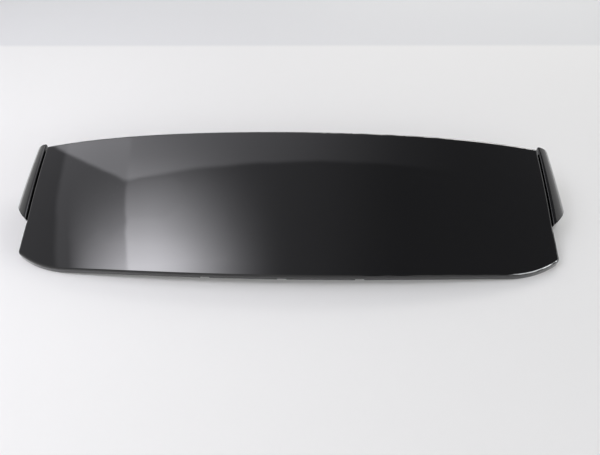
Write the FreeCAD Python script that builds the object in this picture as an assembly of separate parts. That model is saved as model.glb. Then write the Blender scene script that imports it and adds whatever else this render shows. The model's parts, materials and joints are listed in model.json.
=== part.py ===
"""Rear roof spoiler: two bonded skins make the blade, and a side flap is screwed on under each end.

Frame: X across the car, Y forward to the roof, Z up. The spoiler lies on a flat surface at Z = 0, on the
lower edges of its flaps and the two ends of its trailing lip. The origin is under the middle of its box.
All sizes are in millimetres.
"""

import FreeCAD
import Part
import math
import os

Vector = FreeCAD.Vector

# Plan form of the blade
DEPTH = 304.0  # front to back over everything
FLAP_LEAD = 4.0  # how far a flap's nose stands ahead of the blade's front edge
SEAM_X = 548.0  # from the centre line to the middle of the groove beside a flap
SEAM_GAP = 3.0  # width of that groove
NOTCH_Y = -24.0  # where the flap ends and the blade's free corner begins
CORNER_X = 551.0  # the free corner, before it is rounded
TRAIL_RADIUS = 4700.0  # the long curve of the trailing edge
TRAIL_END_RADIUS = 230.0  # the quicker curve towards each corner
TRAIL_END_X = 440.0  # where the quicker curve starts
CORNER_RADIUS = 10.0  # free corner, seen from above
FRONT_CORNER_RADIUS = 7.0  # front corner, seen from above

# Upper surface
SLOPE = 0.40  # rise towards the front at mid depth, per millimetre
BOW = 9.0  # how far the profile stands above its own chord
CROWN = 45.0  # drop from the centre line to the seam
CROWN_QUARTIC = 15.0  # the share of that drop that gathers near the ends

# Upper skin
SKIN = 3.0  # wall
EDGE_RADIUS = 5.0  # rolled outer edge
SKIRT_TRAIL = 10.0  # height of the turned-down edge at the trailing lip
SKIRT_FRONT = 32.0  # and at the front
DRAIN_SPACING = 150.0  # between the drain notches in the trailing lip
DRAIN_WIDTH = 18.0
DRAIN_HEIGHT = 2.5

# Lower skin
PAN = 2.5  # wall
PAN_CLEARANCE = 0.3  # between the pan's rim and the skirt round it
LIP_TUCK = 3.0  # how far the pan's rear edge lies inside the skirt
BODY_DEPTH = 46.0  # from the upper surface to the underside, at the front
BOND = 0.8  # thickness of the adhesive between the skins

# Fixing channel in the underside
CHANNEL_HALF_WIDTH = 505.0
CHANNEL_REAR_Y = 26.0
CHANNEL_FRONT_Y = 130.0
CHANNEL_DEPTH = 12.0
CHANNEL_RADIUS = 14.0
RIB = 2.2
RIB_HEIGHT = 8.0
RIB_SPACING = 110.0

# Fixings that all point the same way into the car
FIXING_TILT = 13.0  # degrees, leaning forward from straight down
STUD_INNER_X = 160.0
STUD_OUTER_X = 410.0
FIXING_Y = 84.0
STUD_RADIUS = 3.0
STUD_CLEARANCE = 0.2
STUD_LENGTH = 24.0  # below its pad
STUD_NECK_RADIUS = 2.7  # plain neck above the thread
STUD_HEAD_FLATS = 10.0
STUD_HEAD = 4.0
STUD_POINT = 1.0  # chamfer at the tip
PAD_WIDTH = 34.0  # square boss round a fixing
PAD_HEIGHT = 17.0
GASKET_WIDTH = 30.0
GASKET_BORE = 6.0
GASKET = 4.0
PLUG_RADIUS = 3.5  # stem that holds a peg or a clip carrier in its pad
PLUG_LENGTH = 12.0
PLUG_CLEARANCE = 0.1
COLLAR = 2.0  # plate of a peg or a clip carrier, against its pad
COLLAR_WIDTH = 24.0
LOCATOR_X = 285.0
LOCATOR_RADIUS = 4.0
LOCATOR_LENGTH = 14.0  # below its collar
LOCATOR_CHAMFER = 2.0
CLIP_INNER_X = 45.0
CLIP_OUTER_X = 480.0
TONGUE_WIDTH = 16.0
TONGUE_THICKNESS = 3.0
TONGUE_LENGTH = 16.0  # below its collar
CLIP_WIDTH = 11.0
CLIP_SHEET = 0.7
CLIP_LEG = 14.0
CLIP_BULGE = 4.0
CLIP_FIT = 0.05

# Rubber and foam
SEAL_DROP = 34.0  # from the upper surface to the front seal
SEAL_HEIGHT = 10.0
SEAL_THICKNESS = 7.0
SEAL_END = 22.0  # from the seal's end to the seam
FOAM_HALF_WIDTH = 470.0
FOAM_WIDTH = 14.0
FOAM = 6.0
FOAM_Y = 8.0

# Side flaps
FLAP = 3.0  # wall
FLAP_REACH_FRONT = 37.0  # outward from the groove
FLAP_REACH_REAR = 48.0
FLAP_DROP = 50.0  # from the groove down to where the flap's side hangs straight
FLAP_LIP_RADIUS = 2.5  # edge beside the groove
FLAP_LEAN = 0.16  # fall of the flap's top where it leaves the groove, per millimetre
FLAP_ROUND_Y = 46.0  # where the flap's rear end starts to round in, seen from above
FLAP_RAKE = 32.0  # how far its raked tail gains on the notch before it rounds
FLAP_LIFT_Y = 52.0  # where its lower edge starts to rise
FLAP_TAIL_DROP = 7.0  # tip of the flap, below the upper surface
FLANGE = 3.0
FLANGE_WIDTH = 30.0
FLANGE_REAR_Y = 12.0
FLANGE_FRONT_Y = 140.0
GUSSET = 2.2
GUSSET_HEIGHT = 34.0

# Flap screws
SCREW_YS = (24.0, 76.0, 128.0)
SCREW_INSET = 16.0  # from the groove
SCREW_RADIUS = 2.1
SCREW_CLEARANCE = 0.1
SCREW_LENGTH = 14.0
SCREW_WASHER_RADIUS = 6.0
SCREW_WASHER = 1.3
SCREW_HEAD_FLATS = 7.0
SCREW_HEAD = 4.0
SCREW_SEAT = 0.05
BOSS_WIDTH = 10.0
BOSS_HEIGHT = 11.0

# Working values
FRONT_Y = DEPTH / 2 - FLAP_LEAD
TRAIL_Y = -DEPTH / 2
CHORD = FRONT_Y - TRAIL_Y
MID_Y = (FRONT_Y + TRAIL_Y) / 2
PANEL_X = SEAM_X - SEAM_GAP / 2
FLAP_X = SEAM_X + SEAM_GAP / 2
MARGIN = 90.0  # working surfaces run past the blade by this much
TALL = 500.0  # taller than anything here
OVERCUT = 1.0  # cuts run past the surface that they open by this much
BEZIER_QUARTER = 0.5523  # handle length of a cubic that follows a quarter circle
NEAR = 1e-6  # places this close are the same
ON_LEVEL = 0.02  # an edge this close to a level lies on it
EDGE_POINTS = 5  # places along an edge that are compared with a level
LIP_STEPS = 200  # steps along half the lip in the search for its lowest point
HEXAGON = 6

# Levels are depths below the upper surface, as (at the trailing edge, at the front edge)
TOP = (0.0, 0.0)
SKIRT = (SKIRT_TRAIL, SKIRT_FRONT)
UNDERSIDE = (SKIRT_TRAIL - LIP_TUCK, BODY_DEPTH)


def deeper(level, distance):
    """The level that lies that much further down."""
    return level[0] + distance, level[1] + distance


def crown_drop(x):
    """How far the surface has dropped at x from its height on the centre line."""
    u = x / SEAM_X
    return (CROWN - CROWN_QUARTIC) * u**2 + CROWN_QUARTIC * u**4


def profile_rise(y):
    """Centre-line profile, measured from its height at mid depth."""
    run = y - MID_Y
    return SLOPE * run - BOW * (2 * run / CHORD) ** 2


def trail_curve_start():
    """Point and heading where the trailing edge turns into its quicker end curve."""
    heading = math.asin(TRAIL_END_X / TRAIL_RADIUS)
    return Vector(TRAIL_END_X, TRAIL_Y + TRAIL_RADIUS * (1 - math.cos(heading)), 0), heading


def trail_end_centre():
    """Centre of the quicker curve at the right-hand end of the trailing edge."""
    start, heading = trail_curve_start()
    return start + Vector(-math.sin(heading), math.cos(heading), 0) * TRAIL_END_RADIUS


def trail_edge_y(x):
    """Trailing edge in plan, to the right of the centre line."""
    if x <= TRAIL_END_X:
        return TRAIL_Y + TRAIL_RADIUS - math.sqrt(TRAIL_RADIUS**2 - x**2)
    centre = trail_end_centre()
    return centre.y - math.sqrt(TRAIL_END_RADIUS**2 - (x - centre.x) ** 2)


def level_depth(level, y):
    """Depth of a level below the upper surface at y."""
    return level[0] + (level[1] - level[0]) * (y - TRAIL_Y) / CHORD


def lip_rise(x):
    """Lower edge of the trailing lip, on the same scale as profile_rise."""
    y = trail_edge_y(x)
    return profile_rise(y) - crown_drop(x) - level_depth(SKIRT, y)


# Sets the lowest point of the lip on the ground
BASE = -min(lip_rise(CORNER_X * i / LIP_STEPS) for i in range(LIP_STEPS + 1))


def height(x, y, level=TOP):
    """Height of a level above the ground."""
    return BASE + profile_rise(y) - crown_drop(x) - level_depth(level, y)


def normal(x, y, level=TOP):
    """Upward unit normal of a level."""
    step = 0.5
    along = (height(x + step, y, level) - height(x - step, y, level)) / (2 * step)
    forward = (height(x, y + step, level) - height(x, y - step, level)) / (2 * step)
    return Vector(-along, -forward, 1).normalize()


def sheet(level):
    """The surface of a level as one exact patch: a parabola swept along the crown."""
    half = SEAM_X + MARGIN
    y_ends = (TRAIL_Y - MARGIN, FRONT_Y + MARGIN)
    rise = [BASE + profile_rise(y) - level_depth(level, y) for y in y_ends]
    slope = SLOPE - 8 * BOW * (y_ends[0] - MID_Y) / CHORD**2 - (level[1] - level[0]) / CHORD
    handle = rise[0] + slope * (y_ends[1] - y_ends[0]) / 2
    rows = [(y_ends[0], rise[0]), (sum(y_ends) / 2, handle), (y_ends[1], rise[1])]
    spread = half / SEAM_X
    square = (CROWN - CROWN_QUARTIC) * spread**2
    fourth = CROWN_QUARTIC * spread**4
    drops = [square + fourth, -fourth, fourth - square / 3, -fourth, square + fourth]
    patch = Part.BezierSurface()
    patch.increase(4, 2)
    for i, drop in enumerate(drops):
        for j, (y, z) in enumerate(rows):
            patch.setPole(i + 1, j + 1, Vector(half * (i - 2) / 2, y, z - drop))
    return patch.toShape()


def under(level):
    """Everything below a level."""
    return sheet(level).extrude(Vector(0, 0, -TALL))


def prism(wire):
    """An upright column over a plan outline, through every level."""
    face = Part.Face(wire)
    face.translate(Vector(0, 0, -TALL / 2))
    return face.extrude(Vector(0, 0, TALL))


def layer(wire, upper, lower):
    """The part of a column between two levels."""
    return prism(wire).common(under(upper)).cut(under(lower))


def rounded_rectangle(x_low, x_high, y_low, y_high, radius):
    """Plan outline of a rectangle with round corners."""
    plate = Part.makePlane(x_high - x_low, y_high - y_low, Vector(x_low, y_low, 0))
    if radius == 0:
        return plate.OuterWire
    return plate.OuterWire.makeOffset2D(-radius).makeOffset2D(radius)


def fillet_corner(before, corner, after, radius):
    """Arc that rounds the corner between two straight directions, with its two ends."""
    back = (before - corner).normalize()
    ahead = (after - corner).normalize()
    half = back.getAngle(ahead) / 2
    start = corner + back * (radius / math.tan(half))
    end = corner + ahead * (radius / math.tan(half))
    middle = corner + (back + ahead).normalize() * (radius / math.sin(half) - radius)
    return start, Part.Arc(start, middle, end).toShape(), end


def mirrored(shape):
    """The same shape on the other side of the centre line."""
    return shape.mirror(Vector(0, 0, 0), Vector(1, 0, 0))


def blade_outline():
    """Plan outline of the upper skin."""
    curve_start, heading = trail_curve_start()
    centre = trail_end_centre()
    tip = Vector(CORNER_X, trail_edge_y(CORNER_X), 0)
    notch = Vector(PANEL_X, NOTCH_Y, 0)
    front = Vector(PANEL_X, FRONT_Y, 0)
    end_heading = math.asin((CORNER_X - centre.x) / TRAIL_END_RADIUS)
    tangent = Vector(-math.cos(end_heading), -math.sin(end_heading), 0)
    into, tip_arc, out = fillet_corner(notch, tip, tip + tangent, CORNER_RADIUS)
    curve_end = Vector(out.x, trail_edge_y(out.x), 0)
    bisector = (heading + math.asin((curve_end.x - centre.x) / TRAIL_END_RADIUS)) / 2
    curve_middle = centre + Vector(math.sin(bisector), -math.cos(bisector), 0) * TRAIL_END_RADIUS
    tip_arc = Part.Arc(into, tip_arc.valueAt(sum(tip_arc.ParameterRange) / 2), curve_end).toShape()
    front_in, front_arc, front_out = fillet_corner(Vector(0, FRONT_Y, 0), front, notch, FRONT_CORNER_RADIUS)
    right = [
        front_arc,
        Part.LineSegment(front_out, notch).toShape(),
        Part.LineSegment(notch, into).toShape(),
        tip_arc,
        Part.Arc(curve_end, curve_middle, curve_start).toShape(),
    ]
    left_start = Vector(-curve_start.x, curve_start.y, 0)
    trailing = Part.Arc(curve_start, Vector(0, TRAIL_Y, 0), left_start).toShape()
    leading = Part.LineSegment(Vector(-front_in.x, FRONT_Y, 0), front_in).toShape()
    edges = right + [trailing, leading] + [mirrored(edge) for edge in right]
    return Part.Wire(Part.__sortEdges__(edges))


def inset(wire, distance):
    """An outline moved inwards."""
    return wire.makeOffset2D(-distance)


def rim_edges(shape, level):
    """Edges round the outside of the face that lies on a level."""
    def on_level(edge):
        points = edge.discretize(EDGE_POINTS)
        return all(abs(p.z - height(p.x, p.y, level)) < ON_LEVEL for p in points)
    return [edge for edge in shape.Edges if on_level(edge)]


def upper_skin(outline):
    """The painted top with its turned-down edge all round."""
    block = layer(outline, TOP, SKIRT)
    block = block.makeFillet(EDGE_RADIUS, rim_edges(block, TOP))
    hollow = prism(inset(outline, SKIN)).common(under((SKIN, SKIN)))
    skin = block.cut(hollow)
    for i in (-1, 0, 1):
        skin = skin.cut(drain_notch(i * DRAIN_SPACING))
    return skin


def drain_notch(x):
    """A low arch through the trailing lip."""
    lip = height(x, trail_edge_y(abs(x))) - SKIRT_TRAIL
    low = lip - SKIRT_TRAIL
    high = lip + DRAIN_HEIGHT
    reach = 2 * SKIN
    box = Part.makeBox(DRAIN_WIDTH, 2 * reach, high - low, Vector(x - DRAIN_WIDTH / 2, TRAIL_Y - reach, low))
    top_edges = [e for e in box.Edges if abs(e.CenterOfMass.z - high) < NEAR]
    side_edges = [e for e in top_edges if abs(e.CenterOfMass.x - x) > DRAIN_WIDTH / 4]
    return box.makeFillet(DRAIN_HEIGHT / 2, side_edges)


def bond_bead(outline):
    """The loop of adhesive between the pan's rim and the upper skin."""
    outer = inset(outline, SKIN + PAN_CLEARANCE)
    inner = inset(outline, SKIN + PAN_CLEARANCE + PAN)
    upper = (SKIN, SKIN)
    return layer(outer, upper, deeper(upper, BOND)).cut(prism(inner))


def channel_outline(grow):
    """Plan outline of the fixing channel."""
    return rounded_rectangle(
        -CHANNEL_HALF_WIDTH - grow,
        CHANNEL_HALF_WIDTH + grow,
        CHANNEL_REAR_Y - grow,
        CHANNEL_FRONT_Y + grow,
        CHANNEL_RADIUS + grow,
    )


def fixed(shape, x, y):
    """Sets a fixing, drawn pointing straight down from the origin, on the underside at x, y."""
    spot = Vector(x, y, height(x, y, UNDERSIDE))
    placed = shape.copy()
    placed.Placement = FreeCAD.Placement(spot, FreeCAD.Rotation(Vector(1, 0, 0), FIXING_TILT))
    return placed


def seated(shape, x, y, level):
    """Sets a screw or its hole, drawn upright at the origin, square to a level at x, y."""
    spot = Vector(x, y, height(x, y, level))
    placed = shape.copy()
    placed.Placement = FreeCAD.Placement(spot, FreeCAD.Rotation(Vector(0, 0, 1), normal(x, y, level)))
    return placed


def both_sides(*xs):
    """Each distance from the centre line, on the left and on the right."""
    return [side * x for x in xs for side in (-1, 1)]


def stud_places():
    """Where the studs stand, seen from above."""
    return [(x, FIXING_Y) for x in both_sides(STUD_INNER_X, STUD_OUTER_X)]


def clip_places():
    """Where the clip carriers stand."""
    return [(x, FIXING_Y) for x in both_sides(CLIP_INNER_X, CLIP_OUTER_X)]


def locator_places():
    """Where the locating pegs stand."""
    return [(x, FIXING_Y) for x in both_sides(LOCATOR_X)]


def screw_places(side):
    """Where the screws of the flap on one side stand."""
    return [(side * (SEAM_X - SCREW_INSET), y) for y in SCREW_YS]


def square(width, tall, z):
    """Upright square bar centred on the Z axis."""
    return Part.makeBox(width, width, tall, Vector(-width / 2, -width / 2, z))


def pad():
    """Square boss from a fixing's face on the underside up into the pan."""
    return square(PAD_WIDTH, PAD_HEIGHT, 0)


def plugged_collar():
    """Plate that lies on a pad, with the stem that holds it there."""
    return square(COLLAR_WIDTH, COLLAR, -COLLAR).fuse(Part.makeCylinder(PLUG_RADIUS, PLUG_LENGTH))


def locator():
    """Peg that finds its hole in the car before the studs do."""
    low = -COLLAR - LOCATOR_LENGTH
    peg = Part.makeCylinder(LOCATOR_RADIUS, LOCATOR_LENGTH, Vector(0, 0, low))
    tip = [e for e in peg.Edges if abs(e.CenterOfMass.z - low) < NEAR]
    return plugged_collar().fuse(peg.makeChamfer(LOCATOR_CHAMFER, tip))


def clip_carrier():
    """Flat tongue that a spring clip is pushed on to."""
    corner = Vector(-TONGUE_WIDTH / 2, -TONGUE_THICKNESS / 2, -COLLAR - TONGUE_LENGTH)
    return plugged_collar().fuse(Part.makeBox(TONGUE_WIDTH, TONGUE_THICKNESS, TONGUE_LENGTH, corner))


def channel_ribs():
    """Stiffening ribs that hang from the channel's roof, their ends and tops sunk into its walls."""
    roof = deeper(UNDERSIDE, -CHANNEL_DEPTH)
    sunk = PAN / 2
    x_end = CHANNEL_HALF_WIDTH + sunk
    y_ends = (CHANNEL_REAR_Y - sunk, CHANNEL_FRONT_Y + sunk)
    middle = (CHANNEL_REAR_Y + CHANNEL_FRONT_Y) / 2
    plans = [rounded_rectangle(-x_end, x_end, middle - RIB / 2, middle + RIB / 2, 0)]
    count = int(CHANNEL_HALF_WIDTH / RIB_SPACING)
    for i in range(-count, count + 1):
        x = i * RIB_SPACING
        plans.append(rounded_rectangle(x - RIB / 2, x + RIB / 2, *y_ends, 0))
    columns = [prism(plan) for plan in plans]
    grid = columns[0].fuse(columns[1:])
    return grid.common(under(deeper(roof, -sunk))).cut(under(deeper(roof, RIB_HEIGHT)))


def lower_skin(outline):
    """The pan: a floor with an upright rim, and a channel in the floor that holds the fixings."""
    rim = inset(outline, SKIN + PAN_CLEARANCE)
    rim_top = (SKIN + BOND, SKIN + BOND)
    floor = deeper(UNDERSIDE, -PAN)
    roof = deeper(UNDERSIDE, -CHANNEL_DEPTH)
    channel_walls = prism(channel_outline(PAN)).common(under(deeper(roof, -PAN)))
    hollow = prism(inset(rim, PAN)).cut(under(floor)).cut(channel_walls)
    channel = prism(channel_outline(0)).common(under(roof))
    pan = layer(rim, rim_top, UNDERSIDE).cut(hollow).cut(channel)
    plugged = locator_places() + clip_places()
    features = [fixed(pad(), x, y) for x, y in stud_places() + plugged]
    boss = square(BOSS_WIDTH, BOSS_HEIGHT, 0)
    bores = [fixed(bore(STUD_RADIUS + STUD_CLEARANCE, PAD_HEIGHT), x, y) for x, y in stud_places()]
    bores += [fixed(bore(PLUG_RADIUS + PLUG_CLEARANCE, PAD_HEIGHT), x, y) for x, y in plugged]
    for side in (-1, 1):
        features += [seated(boss, x, y, deeper(floor, PAN / 2)) for x, y in screw_places(side)]
        bores += [seated(screw_bore(), x, y, UNDERSIDE) for x, y in screw_places(side)]
    return pan.fuse(channel_ribs().fuse(features)).cut(bores).removeSplitter()


def bore(radius, depth):
    """Hole straight through a pad, drawn a little long at each end."""
    return Part.makeCylinder(radius, depth + 2 * OVERCUT, Vector(0, 0, -OVERCUT))


def screw_bore():
    """Hole for a flap screw, from outside the flange up into its boss."""
    depth = SCREW_LENGTH + FLANGE + OVERCUT
    return Part.makeCylinder(SCREW_RADIUS + SCREW_CLEARANCE, depth, Vector(0, 0, -FLANGE - OVERCUT))


def hexagon(flats, tall, z):
    """Upright hexagonal bar."""
    radius = flats / math.sqrt(3)
    angles = [2 * math.pi * i / HEXAGON for i in range(HEXAGON + 1)]
    corners = [Vector(radius * math.cos(angle), radius * math.sin(angle), z) for angle in angles]
    return Part.Face(Part.makePolygon(corners)).extrude(Vector(0, 0, tall))


def stud():
    """Stud with its head on top of the pad; below the gasket its thread is drawn as its outside diameter."""
    thread_top = -GASKET - STUD_POINT
    thread = Part.makeCylinder(STUD_RADIUS, STUD_LENGTH + thread_top, Vector(0, 0, -STUD_LENGTH))
    tip = [e for e in thread.Edges if abs(e.CenterOfMass.z + STUD_LENGTH) < NEAR]
    neck = Part.makeCylinder(STUD_NECK_RADIUS, PAD_HEIGHT - thread_top, Vector(0, 0, thread_top))
    head = hexagon(STUD_HEAD_FLATS, STUD_HEAD, PAD_HEIGHT)
    return thread.makeChamfer(STUD_POINT, tip).fuse([neck, head]).removeSplitter()


def gasket():
    """Square of foam round a stud, stuck to its pad."""
    hole = bore(GASKET_BORE, GASKET).translated(Vector(0, 0, -GASKET))
    return square(GASKET_WIDTH, GASKET, -GASKET).cut(hole)


def spring_clip():
    """Bent strip pushed on to a tongue, with two legs that bulge and close again."""
    inside = TONGUE_THICKNESS / 2 + CLIP_FIT
    end = -COLLAR - TONGUE_LENGTH - CLIP_FIT
    half = [
        Vector(0, inside, end),
        Vector(0, inside, end + CLIP_LEG / 4),
        Vector(0, inside + CLIP_BULGE, end + CLIP_LEG * 2 / 3),
        Vector(0, inside + CLIP_BULGE / 3, end + CLIP_LEG),
    ]
    path = [Vector(0, -point.y, point.z) for point in reversed(half)] + half
    strip = Part.makePolygon(path).makeOffset2D(CLIP_SHEET, 2, True, True)
    strip.translate(Vector(-CLIP_WIDTH / 2, 0, 0))
    return strip.extrude(Vector(CLIP_WIDTH, 0, 0))


def flap_screw():
    """Washer-headed screw under the flange, its shank pointing up into the pan."""
    seat = -FLANGE - SCREW_SEAT
    shank = Part.makeCylinder(SCREW_RADIUS, SCREW_LENGTH, Vector(0, 0, seat))
    washer = Part.makeCylinder(SCREW_WASHER_RADIUS, SCREW_WASHER, Vector(0, 0, seat - SCREW_WASHER))
    head = hexagon(SCREW_HEAD_FLATS, SCREW_HEAD, seat - SCREW_WASHER - SCREW_HEAD)
    return shank.fuse([washer, head]).removeSplitter()


def flap_reach(y):
    """How far the flap stands out from the groove at y."""
    return FLAP_REACH_REAR + (FLAP_REACH_FRONT - FLAP_REACH_REAR) * (y - NOTCH_Y) / (DEPTH / 2 - NOTCH_Y)


def flap_block(shrink):
    """The right flap's solid form before its ends are cut, made smaller all round by shrink."""
    y_ends = (NOTCH_Y - MARGIN / 2, DEPTH / 2 - shrink)
    y_rows = (y_ends[0], sum(y_ends) / 2, y_ends[1])
    seam = [height(SEAM_X, y) for y in y_ends]
    slope = (height(SEAM_X, y_ends[0] + OVERCUT) - height(SEAM_X, y_ends[0] - OVERCUT)) / (2 * OVERCUT)
    z_rows = (seam[0], seam[0] + slope * (y_ends[1] - y_ends[0]) / 2, seam[1])
    x_in = FLAP_X + shrink
    patch = Part.BezierSurface()
    patch.increase(3, 2)
    for j, (y, z_seam) in enumerate(zip(y_rows, z_rows)):
        x_out = FLAP_X + flap_reach(y) - shrink
        z_top = z_seam - shrink
        z_side = z_seam - FLAP_DROP
        run = (x_out - x_in) * BEZIER_QUARTER
        poles = [
            Vector(x_in, y, z_top),
            Vector(x_in + run, y, z_top - FLAP_LEAN * run),
            Vector(x_out, y, z_side + (z_top - z_side) * BEZIER_QUARTER),
            Vector(x_out, y, z_side),
        ]
        for i, pole in enumerate(poles):
            patch.setPole(i + 1, j + 1, pole)
    return patch.toShape().extrude(Vector(0, 0, -TALL))


def quarter(start, corner, end):
    """Smooth quarter turn from start to end that would meet at the corner."""
    curve = Part.BezierCurve()
    curve.setPoles([
        start,
        start + (corner - start) * BEZIER_QUARTER,
        end + (corner - end) * BEZIER_QUARTER,
        end,
    ])
    return curve.toShape()


def flap_plan(shrink):
    """Column that rounds the flap's rear end, seen from above."""
    x_in = FLAP_X + shrink
    x_out = FLAP_X + flap_reach(FLAP_ROUND_Y) - shrink
    far = FLAP_X + MARGIN
    tail = NOTCH_Y + shrink
    start = Vector(x_in, tail, 0)
    turn_end = Vector(x_out, FLAP_ROUND_Y, 0)
    points = [Vector(far, FLAP_ROUND_Y, 0), Vector(far, DEPTH, 0), Vector(x_in, DEPTH, 0)]
    edges = [quarter(start, Vector(x_out, tail + FLAP_RAKE, 0), turn_end)]
    corners = [turn_end] + points + [start]
    edges += [Part.LineSegment(a, b).toShape() for a, b in zip(corners, corners[1:])]
    return prism(Part.Wire(edges))


def flap_side():
    """Bar that trims the flap's lower edge, seen from the side: level, then rising to the tail."""
    x = FLAP_X - MARGIN
    tip = Vector(x, NOTCH_Y - OVERCUT, height(SEAM_X, NOTCH_Y) - FLAP_TAIL_DROP)
    start = Vector(x, FLAP_LIFT_Y, 0)
    corners = [start, Vector(x, DEPTH, 0), Vector(x, DEPTH, TALL), Vector(x, tip.y, TALL), tip]
    edges = [Part.LineSegment(a, b).toShape() for a, b in zip(corners, corners[1:])]
    edges.append(quarter(tip, Vector(x, tip.y, 0), start))
    return Part.Face(Part.Wire(edges)).extrude(Vector(3 * MARGIN, 0, 0))


def flap():
    """Right flap: an open shell with a flange under the pan and gussets in line with its screws."""
    under_flange = deeper(UNDERSIDE, FLANGE)
    block = flap_block(0)
    inner = [e for e in block.Edges if e.BoundBox.XMax < FLAP_X + NEAR and e.BoundBox.YLength > MARGIN]
    lip = max(inner, key=lambda e: e.CenterOfMass.z)
    block = block.makeFillet(FLAP_LIP_RADIUS, [lip])
    core = flap_block(FLAP).common(flap_plan(FLAP))
    shell = block.common(flap_plan(0)).cut(core).common(flap_side())
    inner_wall = rounded_rectangle(FLAP_X - OVERCUT, FLAP_X + FLAP, TRAIL_Y, DEPTH / 2 - FLAP, 0)
    shell = shell.cut(prism(inner_wall).common(under(under_flange)))
    flange_plan = rounded_rectangle(SEAM_X - FLANGE_WIDTH, FLAP_X + FLAP, FLANGE_REAR_Y, FLANGE_FRONT_Y, 0)
    pieces = [layer(flange_plan, UNDERSIDE, under_flange)]
    for y in SCREW_YS:
        plan = rounded_rectangle(FLAP_X, FLAP_X + MARGIN, y - GUSSET / 2, y + GUSSET / 2, 0)
        pieces.append(core.common(prism(plan)).cut(under((GUSSET_HEIGHT, GUSSET_HEIGHT))))
    bores = [seated(screw_bore(), x, y, UNDERSIDE) for x, y in screw_places(1)]
    return shell.fuse(pieces).cut(bores).removeSplitter()


def front_seal():
    """Rubber strip along the pan's front wall, below the skirt."""
    wall_y = FRONT_Y - SKIN - PAN_CLEARANCE
    half = SEAM_X - SEAL_END
    plan = rounded_rectangle(-half, half, wall_y, wall_y + SEAL_THICKNESS, 0)
    upper = (SEAL_DROP, SEAL_DROP)
    return layer(plan, upper, deeper(upper, SEAL_HEIGHT))


def foam_seal():
    """Foam strip across the underside, behind the fixing channel."""
    plan = rounded_rectangle(
        -FOAM_HALF_WIDTH, FOAM_HALF_WIDTH, FOAM_Y - FOAM_WIDTH / 2, FOAM_Y + FOAM_WIDTH / 2, FOAM_WIDTH / 3)
    return layer(plan, UNDERSIDE, deeper(UNDERSIDE, FOAM))


def save(name, *shapes):
    """Writes one piece, or one group of like pieces, to its own file."""
    solids = [solid for shape in shapes for solid in shape.Solids]
    result = solids[0] if len(solids) == 1 else Part.makeCompound(solids)
    result.exportStep(f"parts/{name}.step")
    volume = sum(solid.Volume for solid in solids)
    print(f"{name}: {len(solids)} solid(s), {volume / 1000:.1f} cm3, valid {result.isValid()}")


def main():
    """Builds every piece and writes it to its file."""
    os.makedirs("parts", exist_ok=True)
    outline = blade_outline()
    right_flap = flap()
    save("upper_skin", upper_skin(outline))
    save("bond_bead", bond_bead(outline))
    save("lower_skin", lower_skin(outline))
    save("right_flap", right_flap)
    save("left_flap", mirrored(right_flap))
    for name, side in (("left", -1), ("right", 1)):
        screws = [seated(flap_screw(), x, y, UNDERSIDE) for x, y in screw_places(side)]
        save(f"{name}_flap_screws", *screws)
    save("mounting_studs", *[fixed(stud(), x, y) for x, y in stud_places()])
    save("stud_gaskets", *[fixed(gasket(), x, y) for x, y in stud_places()])
    save("locating_pegs", *[fixed(locator(), x, y) for x, y in locator_places()])
    save("clip_carriers", *[fixed(clip_carrier(), x, y) for x, y in clip_places()])
    save("spring_clips", *[fixed(spring_clip(), x, y) for x, y in clip_places()])
    save("front_seal", front_seal())
    save("foam_seal", foam_seal())


main()
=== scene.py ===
"""Looks of a rear roof spoiler: its finishes, the studio round it and the camera.

Every piece is in metres, in the part's own frame: X across the car, Y forward to the roof, Z up, with the
ground at Z = 0. The solids give the shapes. This file dresses them, cuts the studs' threads and lights the
part.
"""

from __future__ import annotations

import json
import logging
import math
from dataclasses import dataclass, field
from enum import Enum

import bpy
from mathutils import Matrix, Vector

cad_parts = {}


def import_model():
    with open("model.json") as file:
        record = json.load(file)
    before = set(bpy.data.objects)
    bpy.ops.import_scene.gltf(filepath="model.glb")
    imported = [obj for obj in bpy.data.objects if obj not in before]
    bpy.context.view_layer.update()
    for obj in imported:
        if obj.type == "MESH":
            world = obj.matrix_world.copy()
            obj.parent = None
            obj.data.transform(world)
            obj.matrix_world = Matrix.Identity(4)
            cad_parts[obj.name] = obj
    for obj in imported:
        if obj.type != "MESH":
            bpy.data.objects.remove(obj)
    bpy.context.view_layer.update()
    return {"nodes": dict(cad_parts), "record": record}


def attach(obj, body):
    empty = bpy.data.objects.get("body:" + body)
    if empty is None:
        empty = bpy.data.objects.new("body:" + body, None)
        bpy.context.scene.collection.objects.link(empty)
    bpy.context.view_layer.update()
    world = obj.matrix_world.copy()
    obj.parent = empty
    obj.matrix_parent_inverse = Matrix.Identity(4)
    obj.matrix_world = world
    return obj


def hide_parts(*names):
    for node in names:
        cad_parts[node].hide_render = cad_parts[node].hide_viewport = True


log = logging.getLogger("spoiler")

Colour = tuple[float, float, float]
Place = tuple[float, float, float]
Span = tuple[float, float]

COOL: Colour = (0.96, 0.985, 1.0)
WARM: Colour = (1.0, 0.985, 0.965)

# A mix node has a set of sockets for each kind of value. These are the places of its colours.
MIX_FIRST = 6
MIX_SECOND = 7
MIX_RESULT = 2

SAME_PLACE = 1e-7


class Ramp(Enum):
    """How a value passes from one level to the next."""

    LINEAR = "LINEAR"
    SMOOTH = "SMOOTHSTEP"


def linear(red: int, green: int, blue: int) -> Colour:
    """Turns an 8-bit display colour into scene-linear light.

    Args:
        red: Red, 0 to 255.
        green: Green, 0 to 255.
        blue: Blue, 0 to 255.

    Returns:
        The same colour as linear values from 0 to 1.
    """

    def one(value: int) -> float:
        """Applies the display standard's own curve to one channel."""
        share = value / 255
        return share / 12.92 if share <= 0.04045 else ((share + 0.055) / 1.055) ** 2.4

    return one(red), one(green), one(blue)


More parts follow.
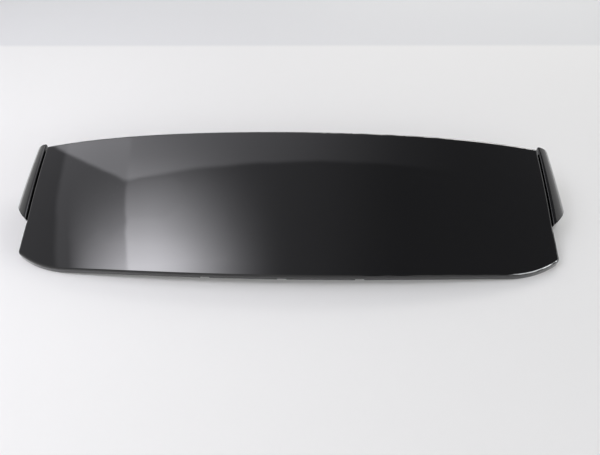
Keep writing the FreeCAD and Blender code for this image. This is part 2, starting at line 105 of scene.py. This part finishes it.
class Nodes:
    """A material's node tree, with short calls for the nodes that the finishes share."""

    def __init__(self, name: str) -> None:
        """Starts a material that holds one Principled shader.

        Args:
            name: Name of the material.
        """
        self.material = bpy.data.materials.new(name)
        self.material.use_nodes = True
        self.tree = self.material.node_tree
        self.shader = self.tree.nodes["Principled BSDF"]
        self.place = self.tree.nodes.new("ShaderNodeTexCoord").outputs["Object"]

    def link(self, output: bpy.types.NodeSocket, target: bpy.types.NodeSocket) -> None:
        """Joins two sockets."""
        self.tree.links.new(output, target)

    def noise(self, scale: float, detail: float, stretch: Place = (1, 1, 1)) -> bpy.types.NodeSocket:
        """Adds a noise pattern on the piece's own place.

        Args:
            scale: Features per metre.
            detail: Number of finer layers.
            stretch: How much the pattern is squeezed along X, Y and Z.

        Returns:
            The pattern's value, from 0 to 1.
        """
        mapping = self.tree.nodes.new("ShaderNodeMapping")
        mapping.inputs["Scale"].default_value = stretch
        self.link(self.place, mapping.inputs["Vector"])
        noise = self.tree.nodes.new("ShaderNodeTexNoise")
        noise.inputs["Scale"].default_value = scale
        noise.inputs["Detail"].default_value = detail
        self.link(mapping.outputs["Vector"], noise.inputs["Vector"])
        return noise.outputs["Fac"]

    def cells(self, scale: float) -> bpy.types.NodeSocket:
        """Adds a cell pattern on the piece's own place.

        Args:
            scale: Cells per metre.

        Returns:
            The distance to the nearest cell's middle.
        """
        cells = self.tree.nodes.new("ShaderNodeTexVoronoi")
        cells.inputs["Scale"].default_value = scale
        self.link(self.place, cells.inputs["Vector"])
        return cells.outputs["Distance"]

    def span(self, value: bpy.types.NodeSocket, low: float, high: float, start: float, end: float,
             ramp: Ramp = Ramp.LINEAR) -> bpy.types.NodeSocket:
        """Maps a value from low..high to start..end and clamps it.

        Args:
            value: The value to map.
            low: Where the ramp starts.
            high: Where it ends.
            start: Its level up to low.
            end: Its level from high on.
            ramp: Its form between them.

        Returns:
            The level.
        """
        node = self.tree.nodes.new("ShaderNodeMapRange")
        node.interpolation_type = ramp.value
        for name, number in (("From Min", low), ("From Max", high), ("To Min", start), ("To Max", end)):
            node.inputs[name].default_value = number
        self.link(value, node.inputs["Value"])
        return node.outputs["Result"]

    def join(self, operation: str, first: bpy.types.NodeSocket, second: bpy.types.NodeSocket | float
             ) -> bpy.types.NodeSocket:
        """Combines two values.

        Args:
            operation: The arithmetic operation.
            first: The first value.
            second: The second value, or a number.

        Returns:
            The result.
        """
        node = self.tree.nodes.new("ShaderNodeMath")
        node.operation = operation
        self.link(first, node.inputs[0])
        if isinstance(second, bpy.types.NodeSocket):
            self.link(second, node.inputs[1])
        else:
            node.inputs[1].default_value = second
        return node.outputs["Value"]

    def across(self) -> tuple[bpy.types.NodeSocket, bpy.types.NodeSocket]:
        """Splits the piece's own place.

        Returns:
            Its X and its Y.
        """
        parts = self.tree.nodes.new("ShaderNodeSeparateXYZ")
        self.link(self.place, parts.inputs["Vector"])
        return parts.outputs["X"], parts.outputs["Y"]

    def tint(self, factor: bpy.types.NodeSocket, dark: Colour, light: Colour) -> bpy.types.NodeSocket:
        """Blends between two colours.

        Args:
            factor: 0 for the dark colour, 1 for the light one.
            dark: The first colour.
            light: The second colour.

        Returns:
            The blend.
        """
        node = self.tree.nodes.new("ShaderNodeMix")
        node.data_type = "RGBA"
        node.inputs[MIX_FIRST].default_value = (*dark, 1)
        node.inputs[MIX_SECOND].default_value = (*light, 1)
        self.link(factor, node.inputs["Factor"])
        return node.outputs[MIX_RESULT]

    def bump(self, height: bpy.types.NodeSocket, depth: float, strength: float) -> None:
        """Presses a pattern into the surface.

        Args:
            height: The pattern.
            depth: Height of the relief in metres.
            strength: Share of that relief that is used.
        """
        node = self.tree.nodes.new("ShaderNodeBump")
        node.inputs["Distance"].default_value = depth
        node.inputs["Strength"].default_value = strength
        self.link(height, node.inputs["Height"])
        self.link(node.outputs["Normal"], self.shader.inputs["Normal"])

    def set(self, **values: float) -> None:
        """Sets plain numbers on the shader, named with underscores for spaces."""
        for name, value in values.items():
            self.shader.inputs[name.replace("_", " ")].default_value = value


@dataclass(frozen=True)
class GlossPaint:
    """Black paint under clear coat: faint orange peel, settled dust and fine wash marks."""

    colour: Colour = (0.003, 0.0031, 0.0034)
    gloss: float = 0.3
    index: float = 1.5
    coat_roughness: float = 0.02
    dust_colour: Colour = (0.05, 0.05, 0.052)
    dust_per_metre: float = 420.0
    dust_spot: Span = (0.05, 0.11)
    dust_haze: float = 0.35
    flecks_per_metre: float = 46.0
    fleck_spot: Span = (0.018, 0.034)
    drifts_per_metre: float = 7.0
    drift_edge: Span = (0.52, 0.72)
    marks_per_metre: float = 60.0
    marks_stretch: Place = (0.35, 1.6, 1.0)
    marks_edge: Span = (0.35, 0.75)
    marks_roughness: Span = (0.035, 0.075)
    peel_per_metre: float = 330.0
    peel_depth: float = 0.00003
    peel_strength: float = 0.5

    def material(self) -> bpy.types.Material:
        """Builds the finish.

        Returns:
            The paint's material.
        """
        nodes = Nodes("gloss_paint")
        dust = nodes.span(nodes.cells(self.dust_per_metre), *self.dust_spot, 1.0, 0.0)
        drift = nodes.span(nodes.noise(self.drifts_per_metre, detail=3.0), *self.drift_edge, 0.0, 1.0)
        flecks = nodes.span(nodes.cells(self.flecks_per_metre), *self.fleck_spot, 1.0, 0.0)
        specks = nodes.join("MULTIPLY", nodes.join("MAXIMUM", dust, flecks), drift)
        wash = nodes.noise(self.marks_per_metre, detail=4.0, stretch=self.marks_stretch)
        marks = nodes.span(wash, *self.marks_edge, *self.marks_roughness)
        haze = nodes.span(specks, 0.0, 1.0, 0.0, self.dust_haze)
        nodes.link(nodes.join("ADD", marks, haze), nodes.shader.inputs["Roughness"])
        nodes.link(nodes.tint(specks, self.colour, self.dust_colour), nodes.shader.inputs["Base Color"])
        nodes.set(IOR=self.index, Specular_IOR_Level=self.gloss)
        nodes.set(Coat_Weight=1.0, Coat_Roughness=self.coat_roughness, Coat_IOR=self.index)
        peel = nodes.noise(self.peel_per_metre, detail=2.0)
        nodes.bump(peel, self.peel_depth, self.peel_strength)
        return nodes.material


@dataclass(frozen=True)
class MouldedPlastic:
    """Unpainted black moulding with a fine leather-like grain and slightly paler worn areas."""

    dark: Colour = (0.013, 0.013, 0.0135)
    pale: Colour = (0.03, 0.03, 0.031)
    wear_per_metre: float = 9.0
    wear_stretch: Place = (1.0, 0.4, 1.0)
    wear_edge: Span = (0.35, 0.7)
    mottle_per_metre: float = 140.0
    mottle_edge: Span = (0.3, 0.7)
    roughness: Span = (0.42, 0.6)
    grain_per_metre: float = 900.0
    grain_depth: float = 0.00012
    grain_strength: float = 0.55

    def material(self) -> bpy.types.Material:
        """Builds the finish.

        Returns:
            The moulding's material.
        """
        nodes = Nodes("moulded_plastic")
        flow = nodes.noise(self.wear_per_metre, detail=5.0, stretch=self.wear_stretch)
        wear = nodes.span(flow, *self.wear_edge, 0.0, 1.0)
        nodes.link(nodes.tint(wear, self.dark, self.pale), nodes.shader.inputs["Base Color"])
        mottle = nodes.noise(self.mottle_per_metre, detail=3.0)
        nodes.link(nodes.span(mottle, *self.mottle_edge, *self.roughness), nodes.shader.inputs["Roughness"])
        nodes.bump(nodes.cells(self.grain_per_metre), self.grain_depth, self.grain_strength)
        return nodes.material


@dataclass(frozen=True)
class Foam:
    """Closed-cell foam: matte, open pores at its cut faces."""

    dark: Colour = (0.012, 0.012, 0.012)
    pale: Colour = (0.05, 0.05, 0.052)
    pores_per_metre: float = 650.0
    pore_edge: Span = (0.1, 0.6)
    pore_depth: float = 0.0006
    pore_strength: float = 0.6
    roughness: float = 0.92
    gloss: float = 0.25

    def material(self) -> bpy.types.Material:
        """Builds the finish.

        Returns:
            The foam's material.
        """
        nodes = Nodes("foam")
        pores = nodes.cells(self.pores_per_metre)
        walls = nodes.span(pores, *self.pore_edge, 0.0, 1.0)
        nodes.link(nodes.tint(walls, self.dark, self.pale), nodes.shader.inputs["Base Color"])
        nodes.set(Roughness=self.roughness, Specular_IOR_Level=self.gloss)
        nodes.bump(pores, self.pore_depth, self.pore_strength)
        return nodes.material


@dataclass(frozen=True)
class Rubber:
    """Extruded rubber: matte black with fine lines along its length and a trace of talc."""

    dark: Colour = (0.011, 0.011, 0.0115)
    talc: Colour = (0.045, 0.045, 0.045)
    talc_per_metre: float = 26.0
    talc_edge: Span = (0.5, 0.8)
    lines_per_metre: float = 420.0
    lines_stretch: Place = (0.03, 1.0, 1.0)
    line_depth: float = 0.0003
    line_strength: float = 0.4
    roughness: float = 0.7
    gloss: float = 0.35

    def material(self) -> bpy.types.Material:
        """Builds the finish.

        Returns:
            The rubber's material.
        """
        nodes = Nodes("rubber")
        lines = nodes.noise(self.lines_per_metre, detail=2.0, stretch=self.lines_stretch)
        talc = nodes.span(nodes.noise(self.talc_per_metre, detail=5.0), *self.talc_edge, 0.0, 1.0)
        nodes.link(nodes.tint(talc, self.dark, self.talc), nodes.shader.inputs["Base Color"])
        nodes.set(Roughness=self.roughness, Specular_IOR_Level=self.gloss)
        nodes.bump(lines, self.line_depth, self.line_strength)
        return nodes.material


@dataclass(frozen=True)
class PlatedSteel:
    """Zinc-plated steel with a faint warm passivation and drawn lines."""

    colour: Colour = (0.62, 0.6, 0.54)
    warm: Colour = (0.58, 0.5, 0.36)
    roughness: Span = (0.24, 0.42)
    name: str = "plated_steel"
    bloom_per_metre: float = 120.0
    bloom_edge: Span = (0.4, 0.7)
    lines_per_metre: float = 800.0
    lines_stretch: Place = (1.0, 1.0, 0.1)
    lines_edge: Span = (0.3, 0.7)

    def material(self) -> bpy.types.Material:
        """Builds the finish.

        Returns:
            The steel's material.
        """
        nodes = Nodes(self.name)
        bloom = nodes.span(nodes.noise(self.bloom_per_metre, detail=3.0), *self.bloom_edge, 0.0, 1.0)
        nodes.link(nodes.tint(bloom, self.colour, self.warm), nodes.shader.inputs["Base Color"])
        lines = nodes.noise(self.lines_per_metre, detail=2.0, stretch=self.lines_stretch)
        nodes.link(nodes.span(lines, *self.lines_edge, *self.roughness), nodes.shader.inputs["Roughness"])
        nodes.set(Metallic=1.0)
        return nodes.material


@dataclass(frozen=True)
class Adhesive:
    """Cured black adhesive with a soft sheen."""

    dark: Colour = (0.012, 0.012, 0.012)
    pale: Colour = (0.022, 0.022, 0.023)
    clouds_per_metre: float = 90.0
    roughness: float = 0.5

    def material(self) -> bpy.types.Material:
        """Builds the finish.

        Returns:
            The adhesive's material.
        """
        nodes = Nodes("adhesive")
        clouds = nodes.noise(self.clouds_per_metre, detail=3.0)
        nodes.link(nodes.tint(clouds, self.dark, self.pale), nodes.shader.inputs["Base Color"])
        nodes.set(Roughness=self.roughness)
        return nodes.material


@dataclass
class Blade:
    """The bonded blade: painted upper skin, moulded pan and the adhesive between them."""

    paint: GlossPaint
    moulding: MouldedPlastic
    adhesive: Adhesive

    def dress(self, nodes: dict[str, bpy.types.Object]) -> None:
        """Gives the blade's solids their finishes.

        Args:
            nodes: The part's solids by name.
        """
        dress(nodes, ("upper_skin",), self.paint.material())
        dress(nodes, ("lower_skin", "locating_pegs", "clip_carriers"), self.moulding.material())
        dress(nodes, ("bond_bead",), self.adhesive.material())


@dataclass
class Flaps:
    """The two side flaps, painted with the blade, and their screws."""

    paint: GlossPaint
    steel: PlatedSteel

    def dress(self, nodes: dict[str, bpy.types.Object]) -> None:
        """Gives the flaps and their screws their finishes."""
        dress(nodes, ("left_flap", "right_flap"), self.paint.material())
        dress(nodes, ("left_flap_screws", "right_flap_screws"), self.steel.material())


@dataclass
class Fixings:
    """Clips, gaskets and seals on the underside."""

    spring_steel: PlatedSteel
    foam: Foam
    rubber: Rubber

    def dress(self, nodes: dict[str, bpy.types.Object]) -> None:
        """Gives the fixings and seals their finishes.

        Args:
            nodes: The part's solids by name.
        """
        dress(nodes, ("spring_clips",), self.spring_steel.material())
        dress(nodes, ("stud_gaskets", "foam_seal"), self.foam.material())
        dress(nodes, ("front_seal",), self.rubber.material())


def dress(nodes: dict[str, bpy.types.Object], names: tuple[str, ...], material: bpy.types.Material) -> None:
    """Puts one material on some of the part's solids.

    Args:
        nodes: The part's solids by name.
        names: The solids to dress.
        material: Their finish.
    """
    for name in names:
        slots = nodes[name].data.materials
        slots.clear()
        slots.append(material)
        log.info("dressed %s with %s", name, material.name)


@dataclass
class ThreadedStuds:
    """The four studs that hold the blade to the tailgate: hexagonal head, plain neck and rolled thread.

    One stud is modelled at the origin, pointing down from its pad, and copied to each mount. Lengths are
    metres, and the ridge's flank and land are shares of its pitch.
    """

    steel: PlatedSteel
    crest: float = 0.003
    root: float = 0.00245
    bury: float = 0.0002
    pitch: float = 0.001
    flank: float = 0.45
    land: float = 0.07
    neck: float = 0.0027
    thread_start: float = 0.005
    length: float = 0.024
    point: float = 0.001
    head_seat: float = 0.017
    head_height: float = 0.004
    head_flats: float = 0.01
    head_sides: int = 6
    head_bevel: float = 0.0004
    bevel_steps: int = 2
    sides: int = 24
    smooth_under: float = math.radians(35.0)

    def build(self, mounts: list[dict]) -> bpy.types.Object:
        """Puts a threaded stud at each stud mount, in place of the plain solids.

        Args:
            mounts: The record's mounts.

        Returns:
            The four studs as one piece.
        """
        pattern = joined([self.core(), self.ridge(), self.head()], "stud_pattern")
        studs = [self.placed(pattern, mount) for mount in mounts if mount["name"].startswith("stud_")]
        bpy.data.objects.remove(pattern)
        piece = joined(studs, "threaded_studs")
        bpy.ops.object.shade_smooth_by_angle(angle=self.smooth_under)
        piece.data.materials.append(self.steel.material())
        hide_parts("mounting_studs")
        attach(piece, "root")
        log.info("cut the threads of %d studs", len(studs))
        return piece

    def core(self) -> bpy.types.Object:
        """Draws the neck, the thread's core and the tip downwards from one disc.

        Returns:
            The core.
        """
        bpy.ops.object.select_all(action="DESELECT")
        bpy.ops.mesh.primitive_circle_add(vertices=self.sides, radius=self.neck, fill_type="NGON")
        bpy.ops.object.mode_set(mode="EDIT")
        bpy.ops.transform.translate(value=(0, 0, self.head_seat))
        tip = self.crest - self.point
        shoulder = self.root - tip - self.length
        stations = (
            (-self.thread_start, self.neck),
            (-self.thread_start, self.root),
            (shoulder, self.root),
            (-self.length, tip),
        )
        level, radius = self.head_seat, self.neck
        for next_level, next_radius in stations:
            bpy.ops.mesh.extrude_region_move(TRANSFORM_OT_translate={"value": (0, 0, next_level - level)})
            ratio = next_radius / radius
            bpy.ops.transform.resize(value=(ratio, ratio, 1), center_override=(0, 0, next_level))
            level, radius = next_level, next_radius
        return self.closed()

    def ridge(self) -> bpy.types.Object:
        """Winds the thread's ridge round the core and closes its two ends.

        Returns:
            The ridge.
        """
        inside = self.root - self.bury
        profile = (
            (inside, -self.flank),
            (self.crest, -self.land),
            (self.crest, self.land),
            (inside, self.flank),
        )
        bpy.ops.object.select_all(action="DESELECT")
        bpy.ops.mesh.primitive_circle_add(vertices=len(profile), radius=self.pitch)
        ridge = bpy.context.object
        lowest = self.point + self.flank * self.pitch - self.length
        for vertex, (radius, rise) in zip(ridge.data.vertices, profile):
            vertex.co = (radius, 0, lowest + rise * self.pitch)
        room = int((self.length - self.point - self.thread_start) / self.pitch)
        screw = ridge.modifiers.new("thread", "SCREW")
        screw.axis = "Z"
        screw.screw_offset = self.pitch
        screw.iterations = room - 1  # one turn short, so that the ridge ends clear of the neck
        screw.steps = self.sides
        screw.render_steps = self.sides
        bpy.ops.object.modifier_apply(modifier=screw.name)
        bpy.ops.object.mode_set(mode="EDIT")
        bpy.ops.mesh.select_all(action="SELECT")
        bpy.ops.mesh.fill_holes(sides=len(profile))
        return self.closed()

    def head(self) -> bpy.types.Object:
        """Makes the bevelled hexagonal head.

        Returns:
            The head.
        """
        half_side = math.pi / self.head_sides
        bpy.ops.object.select_all(action="DESELECT")
        bpy.ops.mesh.primitive_cylinder_add(
            vertices=self.head_sides,
            radius=self.head_flats / 2 / math.cos(half_side),
            depth=self.head_height,
            rotation=(0, 0, half_side),
            location=(0, 0, self.head_seat + self.head_height / 2),
        )
        bpy.ops.object.transform_apply(location=True, rotation=True, scale=True)
        bpy.ops.object.mode_set(mode="EDIT")
        bpy.ops.mesh.select_all(action="SELECT")
        bpy.ops.mesh.bevel(offset=self.head_bevel, segments=self.bevel_steps, affect="EDGES")
        return self.closed()

    @staticmethod
    def closed() -> bpy.types.Object:
        """Turns all faces of the piece in edit mode outwards and leaves that mode.

        Returns:
            The piece.
        """
        bpy.ops.mesh.select_all(action="SELECT")
        bpy.ops.mesh.remove_doubles(threshold=SAME_PLACE)
        bpy.ops.mesh.normals_make_consistent(inside=False)
        bpy.ops.object.mode_set(mode="OBJECT")
        return bpy.context.object

    def placed(self, pattern: bpy.types.Object, mount: dict) -> bpy.types.Object:
        """Copies the stud to one mount, which lies at the middle of its thread.

        Args:
            pattern: The stud at the origin.
            mount: The mount's row in the record.

        Returns:
            The copy, with its place in its mesh.
        """
        axis = Vector(mount["axis"])
        middle = (self.thread_start + self.length - self.point) / 2
        turn = Vector((0, 0, -1)).rotation_difference(axis).to_matrix().to_4x4()
        copy = bpy.data.objects.new(mount["name"], pattern.data.copy())
        copy.data.transform(Matrix.Translation(Vector(mount["pos_m"]) - axis * middle) @ turn)
        bpy.context.scene.collection.objects.link(copy)
        return copy


def joined(parts: list[bpy.types.Object], name: str) -> bpy.types.Object:
    """Joins pieces into one object.

    Args:
        parts: The pieces.
        name: Name of the result.

    Returns:
        The joined object, selected and active.
    """
    bpy.ops.object.select_all(action="DESELECT")
    for part in parts:
        part.select_set(True)
    bpy.context.view_layer.objects.active = parts[0]
    bpy.ops.object.join()
    parts[0].name = name
    return parts[0]


def seen_rays(tree: bpy.types.NodeTree) -> bpy.types.NodeSocket:
    """Tells the rays that show a surface from those that only light others.

    Args:
        tree: The node tree that asks.

    Returns:
        1 for camera, glossy and transmission rays, else 0.
    """
    rays = tree.nodes.new("ShaderNodeLightPath")
    seen = rays.outputs["Is Camera Ray"]
    for name in ("Is Glossy Ray", "Is Transmission Ray"):
        either = tree.nodes.new("ShaderNodeMath")
        either.operation = "MAXIMUM"
        tree.links.new(seen, either.inputs[0])
        tree.links.new(rays.outputs[name], either.inputs[1])
        seen = either.outputs["Value"]
    return seen


@dataclass
class GlowCard:
    """Soft light panel overhead: a glow at the left that fades to the right, with a paler band in front.

    Places are metres in the part's frame, and levels are radiances.
    """

    height: float = 1.8
    left: float = -3.6
    right: float = 3.0
    rear: float = -2.4
    front: float = 1.4
    tint: Colour = (0.985, 0.975, 1.03)
    base: Span = (0.33, 0.135)
    base_fade: Span = (-0.3, 0.8)
    glow: float = 8.5
    glow_edge: Span = (-1.41, -1.36)
    glow_fade: Span = (-1.2, 0.05)
    glow_power: float = 1.8
    glow_depth: Span = (-0.6, 1.0)
    depth_power: float = 2.2
    glow_foot: Span = (-1.0, -0.72)
    left_glow: float = 5.6
    left_fade: Span = (-2.1, -1.38)
    left_power: float = 1.6
    side: Span = (0.09, 0.4)
    side_edge: Span = (-2.36, -2.24)
    band: float = 1.34
    band_edge: Span = (0.3, 0.37)
    band_lift: float = 0.12
    band_climb: float = 0.7
    band_fade: Span = (-1.4, 1.4)
    band_power: float = 2.0

    def build(self) -> None:
        """Hangs the card, out of the camera's sight."""
        bpy.ops.object.select_all(action="DESELECT")
        middle = ((self.left + self.right) / 2, (self.rear + self.front) / 2, self.height)
        bpy.ops.mesh.primitive_plane_add(size=1.0, location=middle)
        card = bpy.context.object
        card.name = "glow_card"
        card.scale = (self.right - self.left, self.front - self.rear, 1)
        bpy.ops.object.transform_apply(location=True, rotation=False, scale=True)
        card.data.materials.append(self.material())
        card.visible_camera = False

    def material(self) -> bpy.types.Material:
        """Builds the card's light.

        Returns:
            The card's material.
        """
        nodes = Nodes("glow_card")
        x, y = nodes.across()
        right = nodes.span(x, *self.glow_edge, 0.0, 1.0, Ramp.SMOOTH)
        left = nodes.span(x, *self.glow_edge, 1.0, 0.0, Ramp.SMOOTH)
        depth = nodes.join("POWER", nodes.span(y, *self.glow_depth, 1.0, 0.0), self.depth_power)
        depth = nodes.join("MULTIPLY", depth, nodes.span(y, *self.glow_foot, 0.0, 1.0, Ramp.SMOOTH))
        fade = nodes.join("POWER", nodes.span(x, *self.glow_fade, 1.0, 0.0, Ramp.SMOOTH), self.glow_power)
        glow = nodes.join("MULTIPLY", nodes.join("MULTIPLY", fade, depth), self.glow)
        dimmer = nodes.join("POWER", depth, self.left_power)
        beside = nodes.join("MULTIPLY", dimmer, nodes.span(x, *self.left_fade, 0.0, self.left_glow))
        beside = nodes.join("ADD", beside, nodes.span(x, *self.side_edge, *self.side, Ramp.SMOOTH))
        glow = nodes.join("MULTIPLY", glow, right)
        beside = nodes.join("MULTIPLY", beside, left)
        outside = nodes.join("MINIMUM", nodes.join("SUBTRACT", x, self.glow_edge[0]), 0.0)
        climb = nodes.join("MULTIPLY", outside, self.band_climb)
        lift = nodes.span(x, self.glow_edge[1], 0.0, 0.0, -self.band_lift)
        height = nodes.join("ADD", nodes.join("ADD", y, climb), lift)
        band = nodes.span(height, *self.band_edge, 0.0, self.band, Ramp.SMOOTH)
        fade = nodes.join("POWER", nodes.span(x, *self.band_fade, 1.0, 0.0), self.band_power)
        band = nodes.join("MULTIPLY", band, fade)
        base = nodes.span(x, *self.base_fade, *self.base, Ramp.SMOOTH)
        light = nodes.join("ADD", nodes.join("ADD", nodes.join("ADD", glow, beside), band), base)
        emission = nodes.tree.nodes.new("ShaderNodeEmission")
        emission.inputs["Color"].default_value = (*self.tint, 1)
        nodes.link(light, emission.inputs["Strength"])
        nodes.link(emission.outputs["Emission"], nodes.tree.nodes["Material Output"].inputs["Surface"])
        return nodes.material


@dataclass(frozen=True)
class Bank:
    """A rectangular soft light at one side of the table."""

    name: str
    place: Place
    power: float
    colour: Colour
    size: Span = (1.8, 1.0)
    aim: Place = (0.0, 0.1, 0.05)
    mirrored: bool = True

    def build(self) -> None:
        """Hangs the light."""
        data = bpy.data.lights.new(self.name, "AREA")
        data.shape = "RECTANGLE"
        data.size, data.size_y = self.size
        data.energy = self.power
        data.color = self.colour
        lamp = bpy.data.objects.new(self.name, data)
        lamp.location = self.place
        lamp.rotation_euler = (Vector(self.aim) - Vector(self.place)).to_track_quat("-Z", "Y").to_euler()
        lamp.visible_camera = False
        lamp.visible_glossy = self.mirrored
        bpy.context.scene.collection.objects.link(lamp)


@dataclass
class Studio:
    """Pale table, the even world round it, the card overhead and the banks at the sides."""

    table: Colour = linear(237, 237, 236)
    table_roughness: float = 0.6
    table_gloss: float = 0.15
    beyond: Colour = linear(224, 225, 226)
    table_end: Span = (0.825, 0.85)
    floor_size: float = 40.0
    sky: Colour = (0.99, 0.985, 0.985)
    sky_light: float = 0.31
    sky_seen: float = 0.66
    fade: Span = (1.4, 2.7)
    card: GlowCard = field(default_factory=GlowCard)
    banks: tuple[Bank, ...] = (
        Bank("right_bank", (3.3, -0.6, 1.2), 16.0, COOL),
        Bank("far_bank", (1.4, 3.2, 1.7), 56.0, WARM, size=(3.0, 1.0)),
        Bank("near_bank", (0.9, -3.0, 1.8), 46.0, WARM, size=(4.5, 2.0), mirrored=False),
        Bank("near_right_bank", (3.3, -1.9, 1.5), 54.0, COOL, size=(1.6, 1.4)),
    )

    def build(self) -> None:
        """Makes the table, the world and the lights."""
        self.floor()
        self.world()
        self.card.build()
        for bank in self.banks:
            bank.build()
        log.info("studio with %d banks", len(self.banks))

    def floor(self) -> None:
        """Lays the table and what lies beyond its far edge."""
        bpy.ops.object.select_all(action="DESELECT")
        bpy.ops.mesh.primitive_plane_add(size=self.floor_size, location=(0, 0, 0))
        floor = bpy.context.object
        floor.name = "table"
        floor.data.materials.append(self.table_top())

    def table_top(self) -> bpy.types.Material:
        """Builds the floor's finish, which passes into the world's own light far away.

        Returns:
            The floor's material.
        """
        nodes = Nodes("table_top")
        depth = nodes.across()[1]
        far = nodes.span(depth, *self.table_end, 0.0, 1.0, Ramp.SMOOTH)
        nodes.link(nodes.tint(far, self.table, self.beyond), nodes.shader.inputs["Base Color"])
        nodes.set(Roughness=self.table_roughness, Specular_IOR_Level=self.table_gloss)
        distance = nodes.tree.nodes.new("ShaderNodeVectorMath")
        distance.operation = "LENGTH"
        nodes.link(nodes.place, distance.inputs[0])
        air = nodes.tree.nodes.new("ShaderNodeEmission")
        air.inputs["Color"].default_value = (*self.sky, 1)
        level = nodes.span(seen_rays(nodes.tree), 0.0, 1.0, self.sky_light, self.sky_seen)
        nodes.link(level, air.inputs["Strength"])
        haze = nodes.tree.nodes.new("ShaderNodeMixShader")
        share = nodes.span(distance.outputs["Value"], *self.fade, 0.0, 1.0, Ramp.SMOOTH)
        nodes.link(share, haze.inputs["Fac"])
        nodes.link(nodes.shader.outputs["BSDF"], haze.inputs[1])
        nodes.link(air.outputs["Emission"], haze.inputs[2])
        nodes.link(haze.outputs["Shader"], nodes.tree.nodes["Material Output"].inputs["Surface"])
        return nodes.material

    def world(self) -> None:
        """Sets an even world that is paler where it is seen or mirrored than where it lights."""
        world = bpy.data.worlds.new("studio")
        world.use_nodes = True
        tree = world.node_tree
        background = tree.nodes["Background"]
        background.inputs["Color"].default_value = (*self.sky, 1)
        level = tree.nodes.new("ShaderNodeMapRange")
        level.inputs["To Min"].default_value = self.sky_light
        level.inputs["To Max"].default_value = self.sky_seen
        tree.links.new(seen_rays(tree), level.inputs["Value"])
        tree.links.new(level.outputs["Result"], background.inputs["Strength"])
        bpy.context.scene.world = world


@dataclass
class Camera:
    """The photograph's point of view, found from the outline of the blade."""

    target: Place = (0.0335, -0.0641, 0.0736)
    distance: float = 0.896
    pitch: float = math.radians(48.0)
    yaw: float = math.radians(-2.81)
    roll: float = math.radians(-1.41)
    focal_pixels: float = 455.0
    frame_pixels: float = 600.0
    sensor: float = 36.0

    def build(self) -> None:
        """Adds the camera and makes it the scene's own."""
        ahead = Vector((
            math.sin(self.yaw) * math.cos(self.pitch),
            math.cos(self.yaw) * math.cos(self.pitch),
            -math.sin(self.pitch),
        ))
        level = Vector((math.cos(self.yaw), -math.sin(self.yaw), 0))
        up = level.cross(ahead)
        right = level * math.cos(self.roll) + up * math.sin(self.roll)
        up = up * math.cos(self.roll) - level * math.sin(self.roll)
        data = bpy.data.cameras.new("camera")
        data.sensor_width = self.sensor
        data.lens = self.sensor * self.focal_pixels / self.frame_pixels
        camera = bpy.data.objects.new("camera", data)
        turn = Matrix((right, up, -ahead)).transposed().to_4x4()
        camera.matrix_world = Matrix.Translation(Vector(self.target) - ahead * self.distance) @ turn
        bpy.context.scene.collection.objects.link(camera)
        bpy.context.scene.camera = camera


def main() -> None:
    """Builds the scene in order."""
    logging.basicConfig(level=logging.INFO, format="%(name)s: %(message)s")
    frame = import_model()
    nodes = frame["nodes"]
    paint = GlossPaint()
    steel = PlatedSteel()
    Blade(paint, MouldedPlastic(), Adhesive()).dress(nodes)
    Flaps(paint, steel).dress(nodes)
    dark_steel = PlatedSteel(
        colour=(0.16, 0.16, 0.17),
        warm=(0.2, 0.18, 0.16),
        roughness=(0.3, 0.5),
        name="spring_steel",
    )
    Fixings(dark_steel, Foam(), Rubber()).dress(nodes)
    ThreadedStuds(steel).build(frame["record"]["mounts"])
    Studio().build()
    Camera().build()
    bpy.context.scene.view_settings.view_transform = "Standard"


if __name__ == "__main__":
    main()
